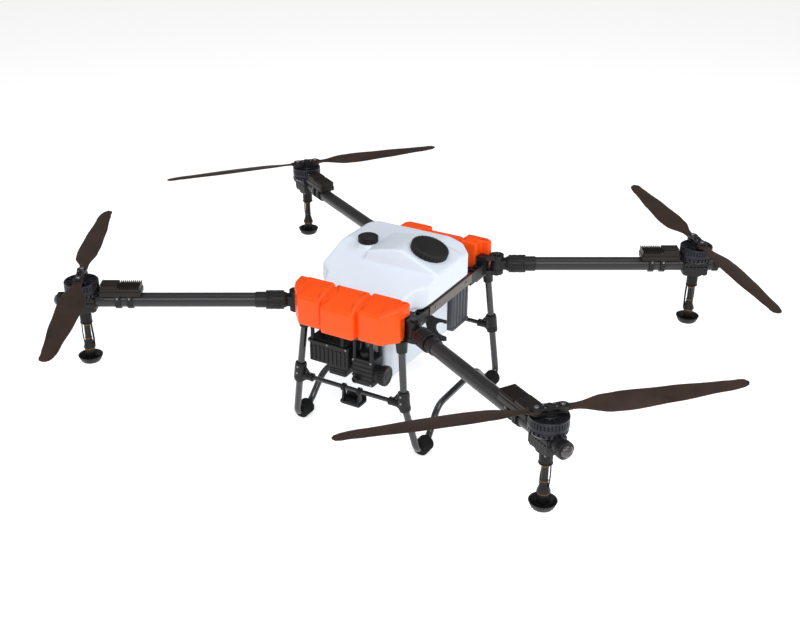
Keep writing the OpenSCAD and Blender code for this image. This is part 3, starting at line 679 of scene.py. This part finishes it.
def soften(name, voxel, rounds, ratio=0.0):
    """Rounds the edges of a moulded CAD piece as a mould would."""
    o = nodes[name]
    m = o.modifiers.new("skin", "REMESH")
    m.mode = "VOXEL"
    m.voxel_size = voxel * 0.001
    m.use_smooth_shade = True
    s = o.modifiers.new("rounding", "SMOOTH")
    s.factor, s.iterations = 0.5, rounds
    if ratio:
        d = o.modifiers.new("lighter", "DECIMATE")
        d.ratio = ratio
    return o


def edged(name, width, angle=38):
    o = nodes[name]
    b = o.modifiers.new("edge", "BEVEL")
    b.width, b.segments, b.limit_method, b.angle_limit = width * 0.001, 2, "ANGLE", math.radians(angle)
    b.harden_normals = True
    o.data.shade_smooth()
    o.data.set_sharp_from_angle(angle=math.radians(angle))
    return o


def landing_gear():
    s = Shape()
    for m in (1, -1):
        half = [(138, 235, 327), (153, 247, 157), (181, 228, 20), (180, 172, 20), (175, 110, 91)]
        full = [(x, -y, z) for x, y, z in half] + [(x, y, z) for x, y, z in half[::-1]]
        s.sweep(fillet_path([(m * x, y, z) for x, y, z in full], 30, 10), 8.9, 40)
    s.make("skid_tubes", "gear_tube", "frame", smooth=60, stand_for=["landing_gear"])
    c = Shape()
    for m in (1, -1):
        c.sweep([(-134, m * 247, 157), (-60, m * 247, 157), (60, m * 247, 157), (134, m * 247, 157)], 5.95, 32)
    c.make("cross_tubes", "gear_tube", "frame", smooth=60, stand_for=["gear_crossbars"])
    f = Shape()
    for mx in (1, -1):
        for my in (1, -1):
            at = Matrix.Translation((mx * 180.6, my * 194.5, 20)) @ Matrix.Rotation(math.pi / 2, 4, "X")
            rows = [(9.05, -17.5), (19.4, -17.5), (20.3, -17.0)]
            for k in range(8):
                z = -16.2 + 4.3 * k
                rows += [(20.0, z), (21.4, z + 0.7, 1), (21.4, z + 2.4, 1), (20.0, z + 3.1)]
            rows += [(20.3, 17.2), (19.4, 17.5), (9.05, 17.5), (9.05, -17.5)]
            f.revolve(rows, 160, at, ribs=40, depth=0.9, duty=0.6)
    f.v = [(x, y, max(z, 0.0)) for x, y, z in f.v]
    f.make("skid_feet", "rubber", "frame", stand_for=["rubber_feet"])


def screw_cap(name, body, r, h, at, ribs):
    s = Shape()
    s.revolve([(r - 9, 0), (r - 1.6, 0), (r - 0.8, 0.8, 1), (r, 1.6, 1), (r, h - 3.4, 1), (r - 1.2, h - 2.2, 1),
               (r - 3.4, h - 1.5), (r - 5, h - 0.6),
               (r - 6.4, h), (r - 8, h), (r - 9.5, h - 1.8), (r * 0.62, h - 1.8), (r * 0.6, h - 1.1),
               (r * 0.2, h - 1.1), (0, h - 1.1)],
              ribs * 8, at, ribs=ribs, depth=2.1, duty=0.62)
    s.make(name + "_shell", "black_cap", body, smooth=32, stand_for=[name])


def body_details():
    s = Shape()
    for m in (1, -1):
        for y in (-84, 84):
            bolt(s, 3.6, 2.0, Matrix.Translation((m * 150, y, ARM_Z - 3))
                 @ Matrix.Rotation(m * math.pi / 2, 4, "Y"))
        for y in (-165, 165):
            bolt(s, 3.6, 2.2, Matrix.Translation((m * 137, y, PLATE_Z)) @ Matrix.Rotation(math.pi, 4, "X"))
    s.make("frame_screw_heads", "steel", "frame", stand_for=["frame_screws"])


def steps(table, v):
    for (a, za), (b, zb) in zip(table, table[1:]):
        if v <= b:
            return za + (zb - za) * max(0.0, (v - a) / (b - a))
    return table[-1][1]


NOSE_ROOF = [(-312, 401), (-297, 409), (-262, 420.5), (-229, 426.8), (-221, 427)]


def covers():
    s = Shape()

    def roof(drop):
        return lambda x, y: steps(NOSE_ROOF, y) - drop

    def lobe(points, drop, r, rb, cx, cy, z0):
        out = spread(rounded(points, rb, 7), 7)
        pillow(s, out, z0, roof(drop), r, lambda x, y: (min(max(x, cx[0]), cx[1]), cy), 5.0)

    left = [(-145.6, -233), (-149.6, -262), (-115.6, -298.6), (-52.5, -298.6), (-52.5, -223), (-134, -223)]
    lobe(left, 0, 9, 7, (-128, -70), -255, 331)
    lobe([(-x, y) for x, y in left[::-1]], 0, 9, 7, (70, 128), -255, 331)
    lobe([(-47, -223), (-47, -303), (-43, -310.6), (43, -310.6), (47, -303), (47, -223)],
         0.3, 9, 6, (-28, 28), -262, 331)
    lobe([(-138, -224.5), (-141, -258), (-111, -291), (111, -291), (141, -258), (138, -224.5)],
         5.5, 7, 8, (-100, 100), -255, 332)
    # roof corners that reach out over the hinge pins
    for m in (1, -1):
        wing = [(70, -224), (70, -268), (141, -268), (154, -252), (156, -226), (150, -222.5)]
        wing = [(m * x, y) for x, y in (wing[::-1] if m > 0 else wing)]
        lobe(wing, 0.5, 8, 6, tuple(sorted((m * 92, m * 138))), -245, 391)
    # raised brow along the roof's back edge
    for x0, x1 in ((-132, -56), (56, 132)):
        lobe([(x0, -224), (x0, -238), (x1, -238), (x1, -224)], -0.1, 2.5, 4, (x0 + 8, x1 - 8), -231, 400)
    s.make("nose_cover", "orange_cover", "frame", smooth=60, stand_for=["front_cover"])

    t = Shape()
    flat = lambda x, y: 419.0 - 0.05 * abs(y - 218)
    for m in (1, -1):
        inner, outer = (72.0, 148.5) if m > 0 else (36.0, 119.0)
        pts = [(inner, 190.5), (min(outer, 123), 190.5), (min(outer, 123), 217.5), (outer, 217.5), (outer, 233),
               (outer - 14, 244.6), (inner, 244.6)]
        pts = [q for i, q in enumerate(pts) if q not in pts[:i] and not (outer < 123 and i == 2)]
        pts = [(m * x, y) for x, y in (pts if m > 0 else pts[::-1])]
        pillow(t, spread(rounded(pts, 6, 7), 7),
               346, flat, 8, lambda x, y: (m * min(max(abs(x), inner + 22), min(outer, 123) - 22), 218), 3)
        pad = [(inner + 12, 199), (min(outer, 123) - 12, 199), (min(outer, 123) - 12, 236), (inner + 12, 236)]
        pad = [(m * x, y) for x, y in (pad if m > 0 else pad[::-1])]
        pillow(t, spread(rounded(pad, 6, 7), 6), 400, lambda x, y: 421.4 - 0.05 * abs(y - 218), 2.5,
               lambda x, y: (m * min(max(abs(x), inner + 22), min(outer, 123) - 22), 218), 1)
    pillow(t, spread(rounded([(-60, 192.5), (60, 192.5), (60, 242.5), (-60, 242.5)], 6, 6),
                     7), 331, lambda x, y: 407.5, 7,
           lambda x, y: (min(max(x, -40), 40), 218), 3)
    pillow(t, spread(rounded([(-119.5, 218.5), (119.5, 218.5), (119.5, 239.5), (-119.5, 239.5)], 4, 6),
                     7), 331, lambda x, y: 357.5, 4,
           lambda x, y: (min(max(x, -100), 100), 229), 2)
    t.make("tail_cover", "orange_cover", "frame", smooth=60, stand_for=["rear_cover"])


def tee_clamps():
    s, b = Shape(), Shape()
    for mx in (1, -1):
        for my in (1, -1):
            top, mid, low = (Vector((mx * x, my * y, z))
                             for x, y, z in ((138, 235, 327), (153, 247, 157), (181, 228, 20)))
            u, w = (top - mid).normalized(), (low - mid).normalized()
            for d, n0, n1 in ((u, 2, 34), (w, 2, 17)):
                q = d.to_track_quat("Z", "Y").to_matrix().to_4x4()
                rows = [(9.2, -n0), (15.2, -n0), (15.4, -n0 + 0.5), (15.2, n1 - 5), (14.2, n1 - 4),
                        (14.2, n1 - 0.6), (13.6, n1), (9.2, n1), (9.2, -n0)]
                s.revolve(rows, 56, Matrix.Translation(mid) @ q)
            s.revolve([(6.05, 112), (10.4, 112), (10.9, 112.6), (10.9, 117), (10.2, 117.8), (10.5, 140),
                       (6.05, 140), (6.05, 112)], 48,
                      Matrix.Translation((0, my * 247, 157))
                      @ Matrix.Rotation(math.radians(90 if mx > 0 else -90), 4, "Y"))
            # web between the cross tube and the leg
            web = [(mx * 114, 157), (mx * 138, 188), (mx * 150, 190), (mx * 150, 140), (mx * 138, 142)]
            yz = Matrix.Translation((0, my * 247 + 1.6, 0)) @ Matrix.Rotation(math.pi / 2, 4, "X")
            s.prism(web, 0, 3.2, yz)
            cone = Matrix.Translation(top - u * 33) @ u.to_track_quat("Z", "Y").to_matrix().to_4x4()
            s.revolve([(9.1, 0), (12.4, 0), (13, 0.6), (14.8, 24), (15.4, 25), (15.4, 31.5),
                       (9.1, 31.5), (9.1, 0)], 56, cone)
            for k in range(2):
                bolt(b, 2.6, 1.8, Matrix.Translation((mx * (120 + 12 * k), my * 247, 167.2)))
            for z in (9, 27):
                p = mid + u * z + Vector((0, my * 15.0, 0))
                bolt(b, 2.8, 1.8, Matrix.Translation(p) @ Matrix.Rotation(-my * math.pi / 2, 4, "X"))
    s.make("leg_clamps", "black_nylon", "frame", bevel=0.5, stand_for=["gear_clamps"])
    b.make("leg_clamp_screws", "steel", "frame")


def nose_units():
    c = Shape()
    c.prism(rounded([(-112, -262), (2, -262), (2, -202), (-112, -202)], 6, 6), 218, 270.2)
    c.prism(rounded([(-115.5, -265.5), (4.8, -265.5), (4.8, -198.5), (-115.5, -198.5)], 7, 6), 270, 276.8)
    c.prism(rounded([(-108, -258), (-3, -258), (-3, -206), (-108, -206)], 5, 6), 276, 281)
    c.prism(rounded([(-58, -258), (-8, -258), (-8, -214), (-58, -214)], 5, 6), 192, 219)
    c.prism(rounded([(-54, -254), (-12, -254), (-12, -218), (-54, -218)], 5, 6), 192.2, 196)
    for k in range(9):
        c.box(-108 + k * 12.2, -103.6 + k * 12.2, -264.6, -261, 222, 262, 1.2)
    for z in (200, 207):
        c.box(-56, -10, -259.6, -257, z, z + 3)
    for x in (-104, -16):
        for y in (-256, -212):
            c.revolve([(0, 276), (6, 276), (5, 284), (5, 320), (6.4, 327), (0, 327)],
                      32, Matrix.Translation((x, y, 0)))
    c.make("control_case", "black_nylon", "frame", bevel=0.7, stand_for=["control_box"])
    p = Shape()
    p.prism(rounded([(10, -258), (70, -258), (70, -204), (10, -204)], 7, 6), 185, 256)
    for z in (195, 207, 219, 231, 243):
        p.box(11, 69, -259.6, -257, z, z + 4, 0)
    side = Matrix.Translation((70, -231, 212)) @ ALONG_X
    p.revolve([(0, -2), (22.4, -2), (23, -1.4), (23, 10.6), (22, 11.4), (24.8, 12.4), (25.5, 13.2, 1), (26, 25, 1),
               (25, 27), (20, 28), (18.8, 27.2),
               (10, 27.2), (9, 28), (0, 28)], 160, side, ribs=20, depth=2.2, duty=0.6)
    p.revolve([(0, 254), (17.4, 254), (18, 255), (18, 268), (16.6, 270), (0, 270)],
              56, Matrix.Translation((38, -231, 0)))
    p.revolve([(0, 0), (7, 0), (7, 9), (8.4, 9.4), (8.4, 13), (5.4, 13.6), (4, 13.6), (4, 10), (0, 10)], 32,
              Matrix.Translation((26, -258, 201)) @ Matrix.Rotation(math.pi / 2, 4, "X"))
    for x in (16, 64):
        for y in (-252, -210):
            p.revolve([(0, 255), (6, 255), (5, 262), (5, 320), (6.4, 327), (0, 327)],
                      32, Matrix.Translation((x, y, 0)))
    p.make("pump_case", "black_nylon", "frame", bevel=0.7, stand_for=["pump"])
    b = Shape()
    face = Matrix.Rotation(math.pi / 2, 4, "X")
    for x, z in ((-108, 273.4), (-56, 273.4), (-2, 273.4)):
        bolt(b, 2.4, 1.2, Matrix.Translation((x, -265.4, z)) @ face)
    for x in (15, 65):
        for z in (190, 251):
            bolt(b, 2.6, 1.6, Matrix.Translation((x, -258, z)) @ face)
    b.make("nose_screws", "steel", "frame")


def sensor_tray():
    at = Matrix.Translation((0, -247, 157))
    s = Shape()
    for x in (-25, 21):
        s.revolve([(6.1, x), (9.6, x), (10, x + 0.5), (10, x + 8.5), (9.6, x + 9),
                   (6.1, x + 9), (6.1, x)], 48, ALONG_X)
        s.prism([(-4, -6.5), (4, -6.5), (8, -30), (14, -36), (-9, -36), (-6.5, -30)], x + 1.5, x + 7.5,
                Matrix(((0, 0, 1, 0), (1, 0, 0, 0), (0, 1, 0, 0), (0, 0, 0, 1))))
    s.prism(rounded([(-27, -11), (32, -11), (32, 24), (-27, 24)], 4, 5), -40, -34)
    s.box(-26.5, 31.5, 20.5, 23.8, -40, -17)
    for k in range(6):
        s.box(-23, 28, -9 + k * 5.2, -7 + k * 5.2, -43.4, -39)
    s.make("sensor_case", "black_nylon", "sensor", at=at, bevel=0.6, stand_for=["sensor"])


def battery_pack():
    s = Shape()
    out = rounded([(-92, 129), (92, 129), (92, 225), (-92, 225)], 7, 7)
    body = rounded([(-89.6, 131), (89.6, 131), (89.6, 222), (-89.6, 222)], 6, 7)
    s.prism(out, 174, 181)
    s.prism(body, 180.9, 291)
    s.prism(out, 290.9, 297.2)
    s.prism(rounded([(-84, 131), (84, 131), (84, 222), (-84, 222)], 5, 6), 297, 307.2)
    s.prism(rounded([(-91.5, 131), (91.5, 131), (91.5, 223), (-91.5, 223)], 6, 7), 307, 324)
    for m in (1, -1):
        for k in range(5):
            x0, x1 = sorted((m * 89, m * 91.6))
            s.box(x0, x1, 136 + k * 17.6, 146 + k * 17.6, 184, 288, 0)
    for z in (188, 198, 208, 218):
        s.box(-78, 78, 221, 223.6, z, z + 5, 0)
    s.make("battery_case", "grey_battery", "battery", bevel=0.8, stand_for=["battery"])
    h = Shape()
    h.sweep(fillet_path([(-50, 221.6, 276), (-50, 222.2, 262), (50, 222.2, 262), (50, 221.6, 276)], 8, 8), 2.7, 20)
    h.make("battery_handle", "black_nylon", "battery")


for key in ARMS:
    arm_tube(key)
    sleeve(key)
    nozzle(key)
    blade(key, 0)
    blade(key, 1)
    knuckle(key)
    motor(key)
    rotor(key)
    esc(key)
landing_gear()
body_details()
covers()
tee_clamps()
nose_units()
sensor_tray()
battery_pack()
NECK = Matrix.Translation((91.5, -18, TANK_TOP + 2)) @ Matrix.Rotation(
    math.radians(19), 4, "Y") @ Matrix.Translation((0, 0, 0.4))
screw_cap("filler_cap", "filler_cap", 49, 17.5, NECK, 30)
screw_cap("vent_cap", "vent_cap", 26, 18, Matrix.Translation((-75, -35, TANK_TOP + 0.4)), 20)
soften("tank", 2.4, 26, 0.5)
for name, width in (("corner_castings", 0.8), ("arm_clips", 0.7), ("frame_beams", 0.6),
                    ("frame_plates", 0.5), ("hinge_pins", 0.5)):
    edged(name, width)
# the pins wear a dark finish, which their steel slot does not show
nodes["hinge_pins"].data.materials.clear()
nodes["hinge_pins"].data.materials.append(M["gear_tube"])

# ---------------------------------------------------------------- floor and light
floor = bpy.data.objects.new("floor", bpy.data.meshes.new("floor"))
floor.data.from_pydata([(-30, -30, -0.0005), (30, -30, -0.0005), (30, 30, -0.0005),
                        (-30, 30, -0.0005)], [], [(0, 1, 2, 3)])
scene.collection.objects.link(floor)
fm, _, _, fp = new_material("floor_white", (0.93, 0.93, 0.93), 0.7)
fp.inputs["Emission Color"].default_value = (1, 1, 1, 1)
fp.inputs["Emission Strength"].default_value = 0.5
floor.data.materials.append(fm)
world = bpy.data.worlds.new("studio")
scene.world = world
world.use_nodes = True
wn, wl = world.node_tree.nodes, world.node_tree.links
where = wn.new("ShaderNodeTexCoord")
facing = wn.new("ShaderNodeVectorMath")
facing.operation = "DOT_PRODUCT"
wl.new(where.outputs["Generated"], facing.inputs[0])
facing.inputs[1].default_value = (math.sin(CAM_AZ), -math.cos(CAM_AZ), 0.25)
wn["Background"].inputs[0].default_value = (1, 1, 1, 1)
wl.new(ramp(wn, wl, facing.outputs["Value"], -0.8, 0.9, 0.2, 0.55), wn["Background"].inputs[1])


def lamp(name, pos, aim, size, power, height=None):
    l = bpy.data.lights.new(name, "AREA")
    l.energy, l.size = power, size
    if height:
        l.shape, l.size_y = "RECTANGLE", height
    o = bpy.data.objects.new(name, l)
    scene.collection.objects.link(o)
    o.matrix_world = Matrix.Translation(pos) @ (
        Vector(pos) - Vector(aim)).to_track_quat("Z", "Y").to_matrix().to_4x4()


lamp("front", (1.75, -2.9, 2.5), (0, 0, 0.35), 3.8, 78, 0.8)
lamp("key", (2.6, 0.6, 3.2), (0, 0, 0.3), 1.4, 34)
lamp("fill", (-3.0, -1.6, 2.2), (0, 0, 0.3), 2.4, 16)
lamp("top", (0.0, 0.4, 4.2), (0, 0, 0.3), 2.6, 26)
scene.view_settings.view_transform = "Standard"
